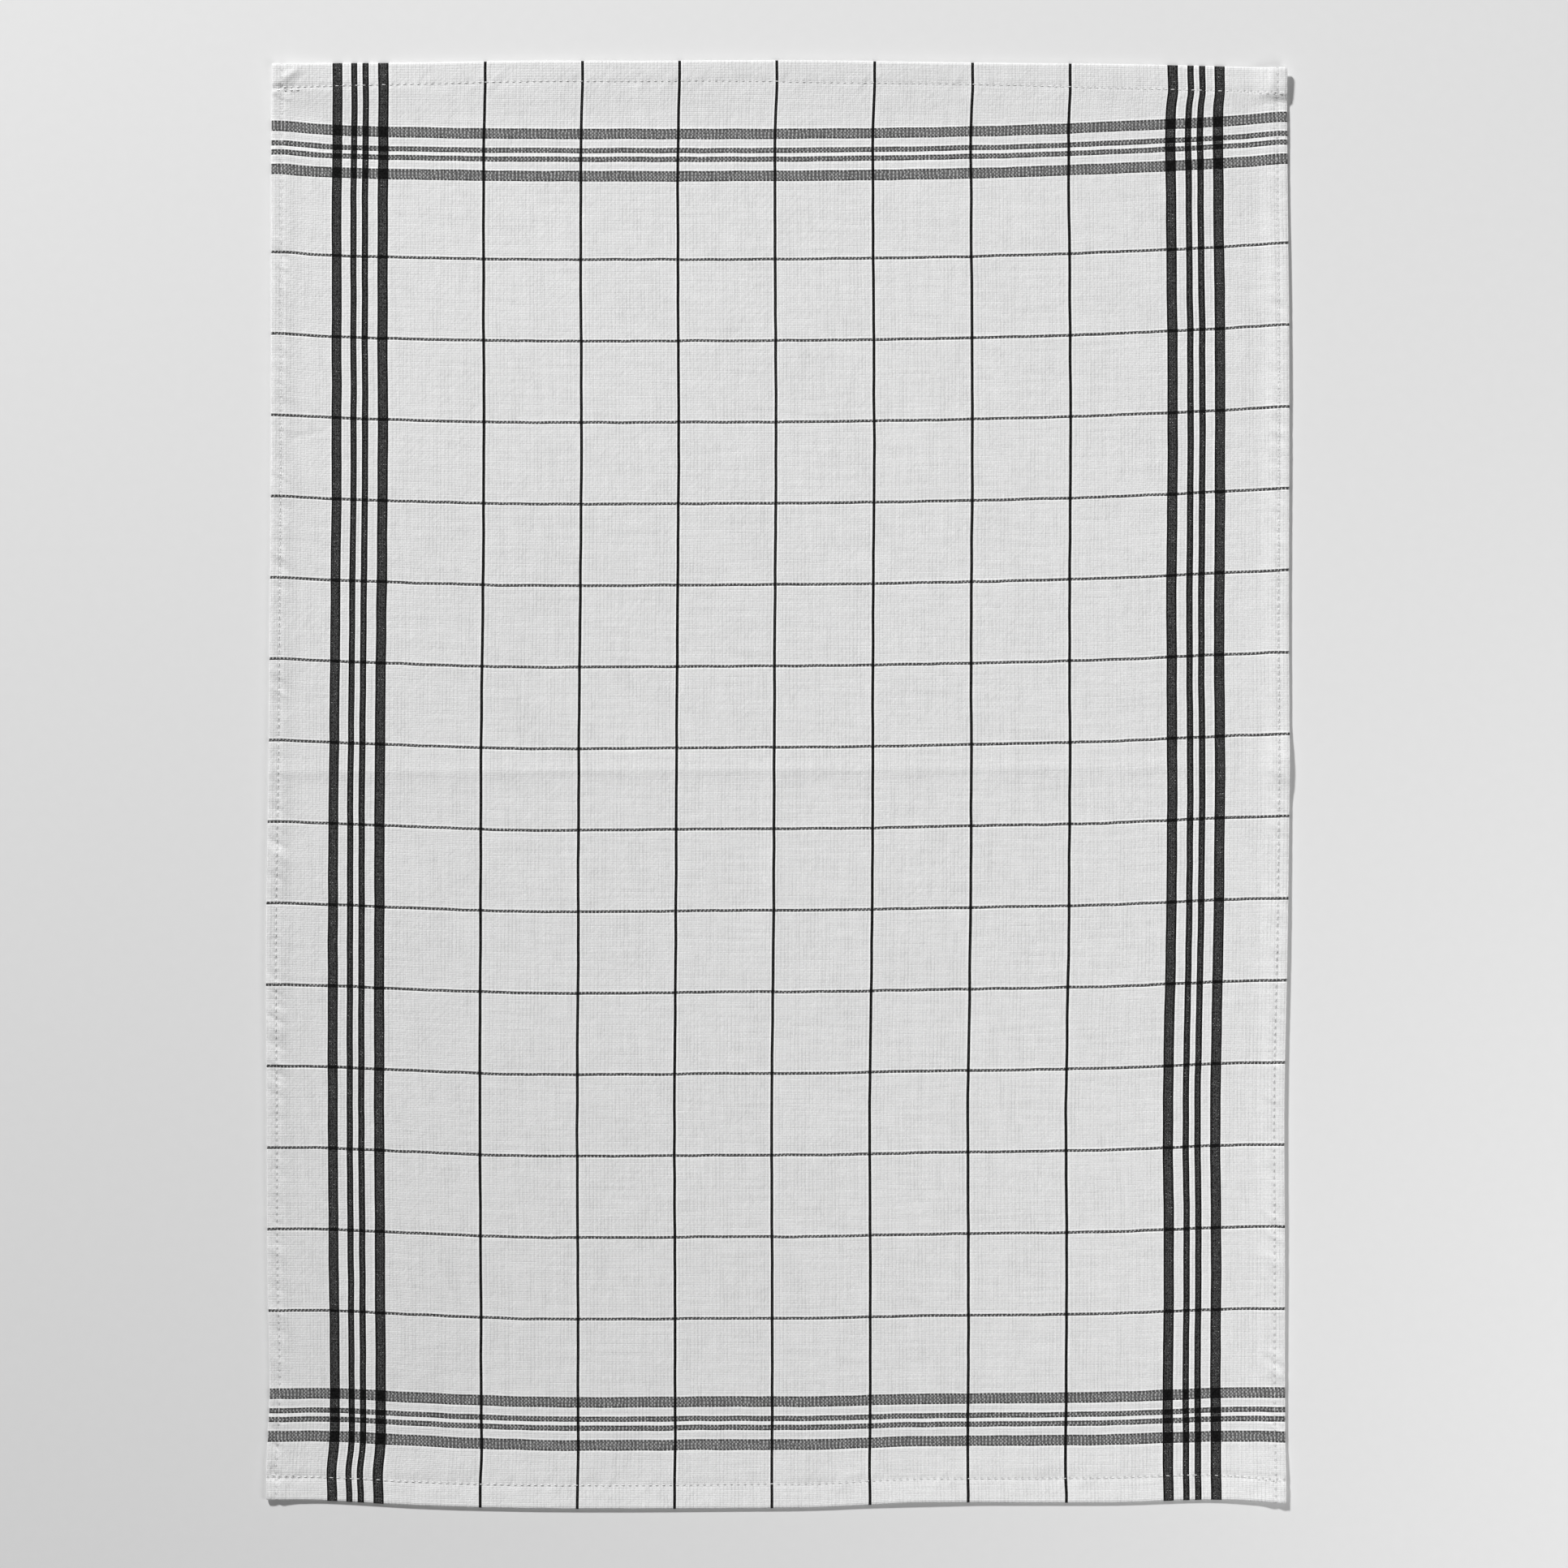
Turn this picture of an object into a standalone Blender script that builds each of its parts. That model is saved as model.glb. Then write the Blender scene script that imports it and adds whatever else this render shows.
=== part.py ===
"""A woven tea towel lying flat: one cloth with a double-turned hem on each of its four sides.

The cloth is a grid of crosswise and lengthwise lines, extruded into a thin closed slab.
Each line is then moved to where the woven threads really run, and each point to the
height of the cloth there: the hems stand thicker than the field, two pressed folds cross
the middle as low ridges, and the corners and edges lift a little off the table.

Places and sizes are in millimetres. Across is +X (towards the right side hem), along is
+Y (towards the top hem) and up is +Z. The origin is the centre of the underside's box.
"""

import bmesh
import bpy
import numpy as np

METRES = 0.001

# The cloth, measured flat along its own threads.
CLOTH_WIDTH = 497.0
CLOTH_LENGTH = 706.0
CLOTH_THICKNESS = 1.0

# The hems: three layers of cloth, rounded at the outer turn.
HEM_THICKNESS = 2.0
CORNER_THICKNESS = 2.7
HEM_EDGE_THICKNESS = 0.9
SIDE_HEM_WIDTH = 6.5
END_HEM_WIDTH = 12.0
HEM_ROUNDING = 0.9
HEM_STEP = 0.8

# The two pressed folds that cross near the middle.
CROSS_FOLD_ALONG = 5.5
LENGTH_FOLD_ACROSS = -1.0
FOLD_HEIGHT = 0.6
FOLD_HALF_WIDTH = 6.0

# Cells between a fold and a hem, on each side of the fold.
CELLS_ACROSS = 15
CELLS_ALONG = 21

# How far the lengthwise threads wander sideways, at stations from the bottom to the top.
SIDE_DRIFT_AT = ("left edge", "left band", "middle", "right band", "right edge")
SIDE_DRIFT_ACROSS = (-248.5, -204.0, 0.0, 204.0, 248.5)
SIDE_DRIFT = {
    # along: left edge, left band, middle, right band, right edge
    -345.0: (-0.5, -2.3, -2.6, -1.2, -0.3),
    -306.0: (0.5, -1.1, -2.4, -1.7, -0.8),
    -239.0: (-0.4, -1.3, -2.4, -1.3, -0.9),
    -160.0: (-0.6, -1.8, -2.6, -1.8, -1.1),
    -80.0: (-1.0, -1.7, -1.8, -0.1, 0.5),
    0.0: (0.2, -1.4, -1.4, 0.5, 1.0),
    78.0: (0.8, -0.6, -1.1, 0.1, 0.6),
    157.0: (1.4, 0.0, -0.5, 0.6, 0.8),
    236.0: (1.4, -0.1, -0.8, 0.3, 0.8),
    278.0: (1.4, 0.0, -1.0, -0.2, 0.3),
    347.0: (1.8, 0.4, -0.1, 0.6, 0.1),
}

# How far the crosswise threads bow up the towel, at stations from the left to the right.
END_BOW_AT = ("bottom edge", "bottom band", "middle", "top band", "top edge")
END_BOW_ALONG = (-353.0, -312.0, -3.0, 307.0, 353.0)
END_BOW = {
    # across: bottom edge, bottom band, middle, top band, top edge
    -243.0: (4.6, 4.3, 4.2, 3.6, -1.2),
    -223.0: (4.6, 4.4, 3.5, 2.1, -1.0),
    -173.0: (2.0, 2.3, 1.5, 0.6, -0.8),
    -122.0: (0.2, 0.4, 0.0, 0.0, 0.0),
    -70.0: (0.0, 0.0, 0.1, 0.0, -0.2),
    -23.0: (0.7, 0.6, 0.6, 0.0, 0.2),
    21.0: (1.5, 0.6, 0.8, 0.2, 0.1),
    72.0: (2.8, 2.0, 1.6, 0.8, -0.6),
    116.0: (2.8, 2.1, 2.5, 1.9, -1.0),
    163.0: (2.8, 2.8, 3.6, 3.6, -1.4),
    227.0: (4.7, 4.8, 6.5, 6.7, -2.4),
    245.0: (3.5, 4.6, 7.0, 7.7, -3.6),
}

# Where the cloth lifts off the table, as soft bells.
LIFTS = {
    # place: (across, along, reach across, reach along, height)
    "top right corner": (248.5, 353.0, 30.0, 36.0, 3.0),
    "top left corner": (-248.5, 353.0, 28.0, 22.0, 1.2),
    "bottom left corner": (-248.5, -353.0, 36.0, 28.0, 2.2),
    "bottom right corner": (248.5, -353.0, 32.0, 28.0, 1.8),
    "kink of the right edge": (248.5, 6.0, 16.0, 16.0, 1.0),
    "right edge, upper half": (248.5, 190.0, 14.0, 120.0, 0.5),
    "right edge, lower half": (248.5, -190.0, 14.0, 120.0, 0.3),
    "left edge": (-248.5, 40.0, 12.0, 260.0, 0.4),
    "bottom edge": (-40.0, -353.0, 190.0, 18.0, 0.9),
    "top edge": (10.0, 353.0, 200.0, 16.0, 0.5),
}

CLOTH_COLOUR = (0.72, 0.72, 0.71, 1.0)
CLOTH_ROUGHNESS = 0.9


def clear_objects():
    """Empty the scene of the objects it starts with."""
    for old in list(bpy.data.objects):
        bpy.data.objects.remove(old, do_unlink=True)


def cloth_lines(half_size, hem_width, fold_place, cells):
    """Places of the grid's lines on one axis: close at the hems and the fold, even between."""
    field_end = half_size - hem_width - HEM_STEP / 2
    hem_end = half_size - hem_width + HEM_STEP / 2
    low_field = np.linspace(-field_end, fold_place - FOLD_HALF_WIDTH, cells + 1)
    high_field = np.linspace(fold_place + FOLD_HALF_WIDTH, field_end, cells + 1)
    hem_lines = np.array((hem_end, half_size - HEM_ROUNDING, half_size))
    return np.concatenate((-hem_lines[::-1], low_field, (fold_place,), high_field, hem_lines))


def smooth_through(stations, values, at):
    """A cubic curve through a table's values, level past its first and last station."""
    slopes = np.gradient(values, stations)
    held = np.clip(at, stations[0], stations[-1])
    row = np.clip(np.searchsorted(stations, held, side="right") - 1, 0, len(stations) - 2)
    span = stations[row + 1] - stations[row]
    part = (held - stations[row]) / span
    rise = part * part * (3.0 - 2.0 * part)
    leave = part * (1.0 - part) ** 2 * span * slopes[row]
    arrive = part * part * (part - 1.0) * span * slopes[row + 1]
    return values[row] + rise * (values[row + 1] - values[row]) + leave + arrive


def thread_shift(table, column_places, station_at, column_at):
    """A table's shift: smooth from station to station, straight between its columns."""
    stations = np.array(sorted(table))
    columns = np.array([table[station] for station in sorted(table)]).T
    curves = [smooth_through(stations, column, station_at) for column in columns]
    shift = curves[0]
    for before in range(len(column_places) - 1):
        start, end = column_places[before], column_places[before + 1]
        share = np.clip((column_at - start) / (end - start), 0.0, 1.0)
        shift = shift + share * (curves[before + 1] - curves[before])
    return shift


def bell(distance, reach):
    """A soft bump: one at its centre, zero at its reach and past it."""
    return np.clip(1.0 - (distance / reach) ** 2, 0.0, None) ** 2


def height_off_table(across, along):
    """The underside's height: zero where the cloth rests, raised at lifts and folds."""
    height = np.zeros_like(across)
    for place_across, place_along, reach_across, reach_along, top in LIFTS.values():
        near_across = bell(across - place_across, reach_across)
        height += top * near_across * bell(along - place_along, reach_along)
    cross_fold = bell(along - CROSS_FOLD_ALONG, FOLD_HALF_WIDTH)
    length_fold = bell(across - LENGTH_FOLD_ACROSS, FOLD_HALF_WIDTH)
    return height + FOLD_HEIGHT * np.maximum(cross_fold, length_fold)


def cloth_depth(across, along):
    """The cloth's own thickness: one layer in the field, more in the hems and corners."""
    from_side = CLOTH_WIDTH / 2 - np.abs(across)
    from_end = CLOTH_LENGTH / 2 - np.abs(along)
    in_side_hem = from_side < SIDE_HEM_WIDTH
    in_end_hem = from_end < END_HEM_WIDTH
    depth = np.where(in_side_hem | in_end_hem, HEM_THICKNESS, CLOTH_THICKNESS)
    depth = np.where(in_side_hem & in_end_hem, CORNER_THICKNESS, depth)
    at_outer_turn = np.minimum(from_side, from_end) < HEM_ROUNDING / 2
    return np.where(at_outer_turn, HEM_EDGE_THICKNESS, depth)


def slab_of_cells(cells_across, cells_along):
    """A closed slab of cells from -1 to 1 each way, its underside at 0 and its top at 1."""
    slab = bmesh.new()
    bmesh.ops.create_grid(slab, x_segments=cells_across, y_segments=cells_along, size=1.0)
    raised = bmesh.ops.extrude_face_region(slab, geom=slab.faces[:], use_keep_orig=True)
    top_points = [item for item in raised["geom"] if isinstance(item, bmesh.types.BMVert)]
    bmesh.ops.translate(slab, vec=(0.0, 0.0, 1.0), verts=top_points)
    bmesh.ops.recalc_face_normals(slab, faces=slab.faces)
    mesh = bpy.data.meshes.new("tea_towel")
    slab.to_mesh(mesh)
    slab.free()
    return mesh


def lay_cloth(mesh, lines_across, lines_along):
    """Move each point of the slab to its thread's place and to the cloth's height there."""
    points = np.empty(len(mesh.vertices) * 3, dtype=np.float32)
    mesh.vertices.foreach_get("co", points)
    points = points.reshape(-1, 3).astype(float)
    column = np.rint((points[:, 0] + 1.0) / 2.0 * (len(lines_across) - 1)).astype(int)
    row = np.rint((points[:, 1] + 1.0) / 2.0 * (len(lines_along) - 1)).astype(int)
    across = lines_across[column]
    along = lines_along[row]
    is_top = points[:, 2] > 0.5

    placed = np.empty_like(points)
    placed[:, 0] = across + thread_shift(SIDE_DRIFT, SIDE_DRIFT_ACROSS, along, across)
    placed[:, 1] = along + thread_shift(END_BOW, END_BOW_ALONG, across, along)
    placed[:, 2] = height_off_table(across, along) + is_top * cloth_depth(across, along)
    middle = (placed[:, :2].min(axis=0) + placed[:, :2].max(axis=0)) / 2
    placed[:, :2] -= middle
    mesh.vertices.foreach_set("co", (placed * METRES).ravel())
    mesh.update()


def cloth_material():
    """Off-white cotton and linen, matt."""
    material = bpy.data.materials.new("cotton_linen")
    material.use_nodes = True
    shader = material.node_tree.nodes["Principled BSDF"]
    shader.inputs["Base Color"].default_value = CLOTH_COLOUR
    shader.inputs["Roughness"].default_value = CLOTH_ROUGHNESS
    shader.inputs["Metallic"].default_value = 0.0
    return material


def make_towel(collection):
    """The whole towel: its cloth and hems are one piece."""
    lines_across = cloth_lines(CLOTH_WIDTH / 2, SIDE_HEM_WIDTH, LENGTH_FOLD_ACROSS, CELLS_ACROSS)
    lines_along = cloth_lines(CLOTH_LENGTH / 2, END_HEM_WIDTH, CROSS_FOLD_ALONG, CELLS_ALONG)
    mesh = slab_of_cells(len(lines_across) - 1, len(lines_along) - 1)
    lay_cloth(mesh, lines_across, lines_along)
    mesh.shade_smooth()
    mesh.materials.append(cloth_material())
    towel = bpy.data.objects.new("tea_towel", mesh)
    collection.objects.link(towel)
    return towel


def main():
    clear_objects()
    collection = bpy.data.collections.new("tea towel")
    bpy.context.scene.collection.children.link(collection)
    make_towel(collection)


main()
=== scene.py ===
import math
from types import SimpleNamespace

import bpy
import numpy as np
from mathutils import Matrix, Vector


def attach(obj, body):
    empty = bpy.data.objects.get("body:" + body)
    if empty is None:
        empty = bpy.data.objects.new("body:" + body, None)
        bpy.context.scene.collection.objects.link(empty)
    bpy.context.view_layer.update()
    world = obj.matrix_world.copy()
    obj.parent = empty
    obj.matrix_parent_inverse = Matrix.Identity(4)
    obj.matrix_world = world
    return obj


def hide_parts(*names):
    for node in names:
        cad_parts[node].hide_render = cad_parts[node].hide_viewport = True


# A woven tea towel lying flat on a pale table, seen from straight above.
# Places on the cloth are in millimetres: across runs with the weft (+X), along with the warp (+Y).

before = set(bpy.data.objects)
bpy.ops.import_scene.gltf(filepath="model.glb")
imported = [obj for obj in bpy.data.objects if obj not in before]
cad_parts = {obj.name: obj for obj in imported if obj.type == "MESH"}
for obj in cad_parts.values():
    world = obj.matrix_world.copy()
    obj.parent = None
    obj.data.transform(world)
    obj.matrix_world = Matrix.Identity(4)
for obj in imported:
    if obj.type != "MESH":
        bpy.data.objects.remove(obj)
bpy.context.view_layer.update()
metres = 0.001  # one millimetre in the scene's metres
print("1. frame loaded")

# ---- the cloth's shape

towel = {
    "width": 497.0, "length": 706.0,  # finished size, measured flat along the threads
    "layer": 0.5,  # one layer of the weave
    "fieldFace": 0.55, "hemFace": 1.3, "cornerFace": 1.8,  # face height over one, three and more layers
    "sideHem": 6.4, "endHem": 12.6,  # hem widths
    "easing": 9.0, "endEasing": 18.0,  # how far in from a side or end hem's inner fold its face comes down
    "rightEasing": 3.0,  # how much further at the top hem's right end, where more cloth is turned under
    "rightFrom": 60.0, "rightTo": 245.0,  # where that sets in, and where it is full
    "hemStep": 1.0,  # how far past the inner fold a hem's face is at its full height
    "hemCalm": 0.7, "deepest": -0.12,  # how much weaker the swell is on hems, and its deepest trough
    "clear": 0.02,  # how far the underside stays off the table
    "turn": 0.3,  # how far in from the edge the outer turn starts to round off
    "innerFold": 0.5,  # width of the step at a hem's inner fold, on the underside
    "ring": 24.0, "fineCell": 1.15, "coarse": 3,  # close cells in a ring at the edges, wide ones inside it
    "underCoarse": 6,  # fine cells in one cell of the underside
    "turnRows": 3,  # rows of points round the outer turn
}

seams = {
    "side": 5.0, "top": 11.1, "bottom": 11.65,  # how far in from the edge each line of stitches runs
    "bottomSlant": 0.0026,  # the bottom line leaves its edge towards the right
    "bottomBend": 1.6, "bendFrom": 195.0,  # and bends back to it at the right end
    "dip": 0.55, "dipWidth": 1.1,  # how far the stitches draw the face in
    "endDip": 0.35, "dipFrom": 190.0, "dipTo": 244.0,  # share of that along the middle of the end seams
    "holeDip": 0.35,  # share of it that comes and goes from hole to hole
    "leastFace": 0.55,  # the face stays this far above the underside
    "pitch": 3.3,  # from hole to hole
    "puff": 0.10,  # the cloth swells between one hole and the next
    "pucker": 0.28, "puckerReach": 4.5,  # short ridges that the thread gathers beside it
    "slant": 0.6, "patch": 21.0,  # how they lean, and the length of the patches where they come and go
    "fineRidges": (0.55, 0.12, 1.75), "wideRidges": (0.75, 0.2, 4.1),  # height, narrowing and cell
    "sideGather": 2.4, "endGather": 0.8,  # how much the side seams and the end seams gather
    "hollow": 0.42, "hollowWidth": 1.6,  # how far it draws the underside up
}

driftPlaces = (-248.5, -204.0, -143.0, 0.0, 143.0, 204.0, 248.5)
sideDrift = {
    # along: how far the warp wanders to the right
    # at the left edge, left band, first line, middle, last line, right band and right edge
    -349.0: (-0.4, -1.9, -1.8, -2.5, -1.9, -1.4, -0.3),
    -339.0: (-0.6, -2.3, -1.7, -2.5, -2.4, -1.5, -0.3),
    -327.0: (0.0, -1.1, -1.1, -2.5, -2.3, -1.5, -0.6),
    -306.0: (1.0, -0.9, -1.3, -2.4, -2.1, -1.7, -0.8),
    -239.0: (0.0, -1.2, -1.5, -2.4, -1.8, -1.2, -0.9),
    -160.0: (-0.25, -1.7, -1.9, -2.6, -2.1, -1.6, -1.1),
    -80.0: (-0.65, -1.6, -1.6, -1.8, -0.8, -0.1, 0.5),
    0.0: (0.55, -1.4, -1.4, -1.4, -0.2, 0.5, 1.4),
    78.0: (1.15, -0.6, -0.6, -1.1, -0.4, 0.1, 1.1),
    157.0: (1.75, 0.1, 0.1, -0.5, 0.1, 0.7, 1.3),
    236.0: (1.8, 0.0, -0.1, -0.8, -0.2, 0.3, 1.1),
    278.0: (1.8, 0.1, -0.1, -1.0, -0.6, -0.2, 0.6),
    329.0: (2.1, 0.5, 0.4, -0.6, -0.5, 0.0, 0.2),
    341.0: (2.3, 0.5, 0.8, -0.1, 0.0, 0.8, 0.1),
    350.0: (2.4, 0.4, 0.8, -0.1, -0.1, 0.6, 0.1),
}

bowPlaces = (-353.0, -312.0, -3.0, 304.0, 324.0, 342.0, 353.0)
endBow = {
    # across: how far the weft bows up the towel
    # at the bottom edge, bottom band, middle, top band's lower and upper side, top seam and top edge
    -243.0: (3.9, 4.5, 4.2, 3.3, 3.6, -2.3, -1.7),
    -223.0: (3.6, 4.7, 3.5, 1.9, 1.9, -1.7, -1.5),
    -173.0: (1.0, 2.5, 1.5, 0.6, 0.3, -0.5, -1.2),
    -122.0: (-0.35, 0.5, 0.0, -0.1, -0.3, 0.7, -0.4),
    -70.0: (-0.6, 0.2, 0.1, -0.2, -0.4, 0.8, -0.5),
    -23.0: (-0.35, 0.6, 0.6, -0.2, -0.4, 1.1, -0.2),
    21.0: (0.1, 0.6, 0.8, 0.1, -0.3, 0.3, -0.3),
    72.0: (2.5, 1.9, 1.6, 0.8, 0.2, -0.2, -1.0),
    116.0: (2.5, 2.2, 2.5, 1.8, 1.2, -1.2, -1.5),
    163.0: (2.5, 2.8, 3.6, 3.5, 3.0, -2.6, -1.9),
    227.0: (3.6, 4.9, 6.5, 6.7, 6.2, -4.3, -3.3),
    245.0: (2.4, 5.1, 7.0, 8.1, 7.8, -5.0, -3.8),
}

lifts = {
    # place: (across, along, reach across, reach along, height off the table)
    "top right corner": (248.5, 353.0, 20.0, 28.0, 2.7),
    "top left corner": (-248.5, 353.0, 28.0, 22.0, 0.7),
    "bottom left corner": (-248.5, -353.0, 30.0, 28.0, 0.4),
    "bottom right corner": (238.0, -353.0, 30.0, 28.0, 0.45),
    "kink of the right edge": (248.5, 3.0, 16.0, 22.0, 1.4),
    "right edge, upper half": (248.5, 170.0, 14.0, 190.0, 1.0),
    "right edge, lower half": (248.5, -170.0, 14.0, 300.0, 1.4),
    "left edge": (-248.5, 40.0, 12.0, 260.0, 0.3),
    "left side, lower half": (-248.5, -95.0, 60.0, 230.0, 0.6),
    "bottom edge, right of the middle": (72.0, -353.0, 36.0, 18.0, 0.4),
    "top edge": (10.0, 353.0, 230.0, 16.0, 0.6),
}

creases = {
    "crossAt": 6.7, "crossSlant": 0.004, "crossHeight": 0.42,  # the fold across the middle
    "crossReach": 4.4, "crossReachBelow": 2.8,  # how far it dies away above and below its crest
    "crossFade": 0.7, "fadeFrom": 110.0, "fadeTo": 230.0,  # how much weaker it is at the right side
    "crossDrop": 1.0,  # its crest lies this much lower on the cloth than on the table
    "lengthAt": -1.5, "lengthReach": 3.2,  # the fold up the middle
    "crest": 0.5,  # how far a fold's crest is rounded
    "closeAcross": 4.0, "closeAlong": 7.0, "closeUnder": 3.0,  # reach of the closer cells beside a fold
    "easeFrom": -2.0, "easeTo": 3.0,  # where a wrinkle dies away, from its end outwards
}

lengthFold = {
    # along: height of the fold up the middle, a ridge where positive and a trough where negative
    -340.0: (0.0,), -250.0: (-0.35,), -150.0: (-0.35,), -105.0: (0.0,), -90.0: (0.4,), -5.0: (0.45,),
    15.0: (0.0,), 80.0: (-0.25,), 170.0: (-0.25,), 260.0: (0.0,), 340.0: (0.0,),
}

wrinkles = {
    # place: (across and along of one end, across and along of the other, half width, height)
    "by the left hem": (-239.0, 164.5, -219.0, 171.0, 1.3, -0.14),
    "by the left hem, upper end": (-219.0, 171.0, -208.0, 176.0, 1.3, -0.10),
    "top left pucker": (-243.5, 345.5, -235.0, 350.0, 1.4, 0.60),
    "top left pucker, inner": (-245.0, 336.5, -234.0, 337.5, 1.4, -0.18),
    "top left tack": (-245.8, 341.0, -244.2, 341.3, 1.1, -1.1),
    "top left tack, second row": (-242.6, 338.9, -240.4, 339.1, 0.8, -0.7),
    "top left tack, inner": (-239.9, 341.1, -238.6, 341.3, 0.8, -0.6),
    "bottom left tack": (-245.5, -338.0, -244.5, -342.5, 0.9, -0.9),
    "bottom left, above": (-246.6, -324.5, -243.5, -329.0, 0.9, -0.8),
    "top right tack": (232.0, 340.6, 243.0, 340.0, 1.0, -0.10),
    "top right fold": (238.0, 338.0, 242.0, 350.0, 1.8, 0.30),
    "bottom right dent": (234.0, -348.5, 241.0, -346.0, 2.2, -0.25),
    "lower middle": (24.0, -183.0, 33.0, -168.0, 2.5, 0.10),
    "lower left": (-88.0, -132.0, -82.0, -112.0, 4.0, 0.12),
}

waves = {
    "slow": (70.0, 0.22, 11),  # cell, height and seed of the field's slow swell
    "middling": (26.0, 0.05, 12),
    "small": (8.0, 0.018, 13),
}

halfWidth = towel["width"] / 2
halfLength = towel["length"] / 2


# Eased step: zero at start, one at end, level at both (3t^2 - 2t^3).
def softStep(x, start, end):
    t = np.clip((x - start) / (end - start), 0.0, 1.0)
    return t * t * (3.0 - 2.0 * t)


# Soft bump: (1 - (distance / reach)^2)^2, zero past its reach.
def bell(distance, reach):
    return np.clip(1.0 - (distance / reach) ** 2, 0.0, None) ** 2


# Cubic curve through a table's values, with slopes from their neighbours, level past both ends.
def smoothThrough(stations, values, at):
    slopes = np.gradient(values, stations)
    held = np.clip(at, stations[0], stations[-1])
    row = np.clip(np.searchsorted(stations, held, side="right") - 1, 0, len(stations) - 2)
    span = stations[row + 1] - stations[row]
    part = (held - stations[row]) / span
    rise = part * part * (3.0 - 2.0 * part)
    leave = part * (1.0 - part) ** 2 * span * slopes[row]
    arrive = part * part * (part - 1.0) * span * slopes[row + 1]
    return values[row] + rise * (values[row + 1] - values[row]) + leave + arrive


# A table's columns as curves over its stations.
def tableCurves(table, at):
    stations = np.array(sorted(table))
    columns = np.array([table[station] for station in sorted(table)]).T
    return [smoothThrough(stations, column, at) for column in columns]


# A table's shift: smooth from station to station, straight from column to column.
def threadShift(table, columnPlaces, stationAt, columnAt):
    curves = tableCurves(table, stationAt)
    shift = curves[0]
    for before, start in enumerate(columnPlaces[:-1]):
        share = np.clip((columnAt - start) / (columnPlaces[before + 1] - start), 0.0, 1.0)
        shift = shift + share * (curves[before + 1] - curves[before])
    return shift


# Seeded random heights on a square lattice, joined by eased steps: from -1 to 1.
def softNoise(x, y, cell, seed):
    size = 128
    lattice = np.random.RandomState(seed).uniform(-1.0, 1.0, (size, size))
    column, row = np.floor(x / cell).astype(int), np.floor(y / cell).astype(int)
    stepX, stepY = softStep(x / cell - column, 0.0, 1.0), softStep(y / cell - row, 0.0, 1.0)
    left, right, below, above = column % size, (column + 1) % size, row % size, (row + 1) % size
    low = lattice[left, below] * (1 - stepX) + lattice[right, below] * stepX
    high = lattice[left, above] * (1 - stepX) + lattice[right, above] * stepX
    return low * (1 - stepY) + high * stepY


# Where a place on the cloth lies on the table: the threads' own wandering, added to the flat cloth.
def onTable(across, along):
    x = across + threadShift(sideDrift, driftPlaces, along, across)
    y = along + threadShift(endBow, bowPlaces, across, along)
    return x, y


# How far the cloth is lifted off the table: the sum of the table's bells.
def liftHeight(across, along):
    lift = np.zeros_like(across)
    for placeAcross, placeAlong, reachAcross, reachAlong, top in lifts.values():
        lift = lift + top * bell(across - placeAcross, reachAcross) * bell(along - placeAlong, reachAlong)
    return lift


# A pressed fold's profile: a crest that dies away on both sides, exp(-sqrt(distance^2 + crest^2) / reach).
def foldProfile(distance, reach):
    return np.exp(-np.sqrt(distance ** 2 + creases["crest"] ** 2) / reach)


# Both pressed folds: one across the middle, straight on the table, and one up the middle beside its line.
def foldHeight(across, along):
    x, y = onTable(across, along)
    crossCrest = creases["crossAt"] + creases["crossSlant"] * x
    strength = 1.0 - creases["crossFade"] * softStep(across, creases["fadeFrom"], creases["fadeTo"])
    reach = np.where(y > crossCrest, creases["crossReach"], creases["crossReachBelow"])
    cross = creases["crossHeight"] * strength * foldProfile(y - crossCrest, reach)
    beside = across - creases["lengthAt"]
    return cross + tableCurves(lengthFold, along)[0] * foldProfile(beside, creases["lengthReach"])


# Creases placed one by one: a bell across the line from one end to the other, easing out past the ends.
def wrinkleHeight(across, along):
    height = np.zeros_like(across)
    for startX, startY, endX, endY, halfCrease, top in wrinkles.values():
        length = math.hypot(endX - startX, endY - startY)
        dirX, dirY = (endX - startX) / length, (endY - startY) / length
        run = (across - startX) * dirX + (along - startY) * dirY
        off = (along - startY) * dirX - (across - startX) * dirY
        past = np.maximum(-run, run - length)
        ended = softStep(past, creases["easeFrom"], creases["easeTo"])
        height = height + top * bell(off, 2 * halfCrease) * (1.0 - ended)
    return height


# How far the bottom line of stitches has bent back towards its edge.
def bottomBend(across):
    return seams["bottomBend"] * softStep(across, seams["bendFrom"], halfWidth)


# The bottom line of stitches before it bends.
def bottomStraight(across):
    return -halfLength + seams["bottom"] + seams["bottomSlant"] * across


# Distance from each line of stitches (positive towards the field) and place along it, for the four sides.
def seamPlaces(across, along):
    return (
        (across + halfWidth - seams["side"], along),
        (halfWidth - seams["side"] - across, along),
        (along - bottomStraight(across) + bottomBend(across), across),
        (halfLength - seams["top"] - along, across),
    )


# One size of the ridges beside a seam.
def ridgeHeight(slanted, off, sizes, seed):
    top, narrowing, cell = sizes
    return top * softNoise(slanted, off * narrowing, cell, seed)


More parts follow.
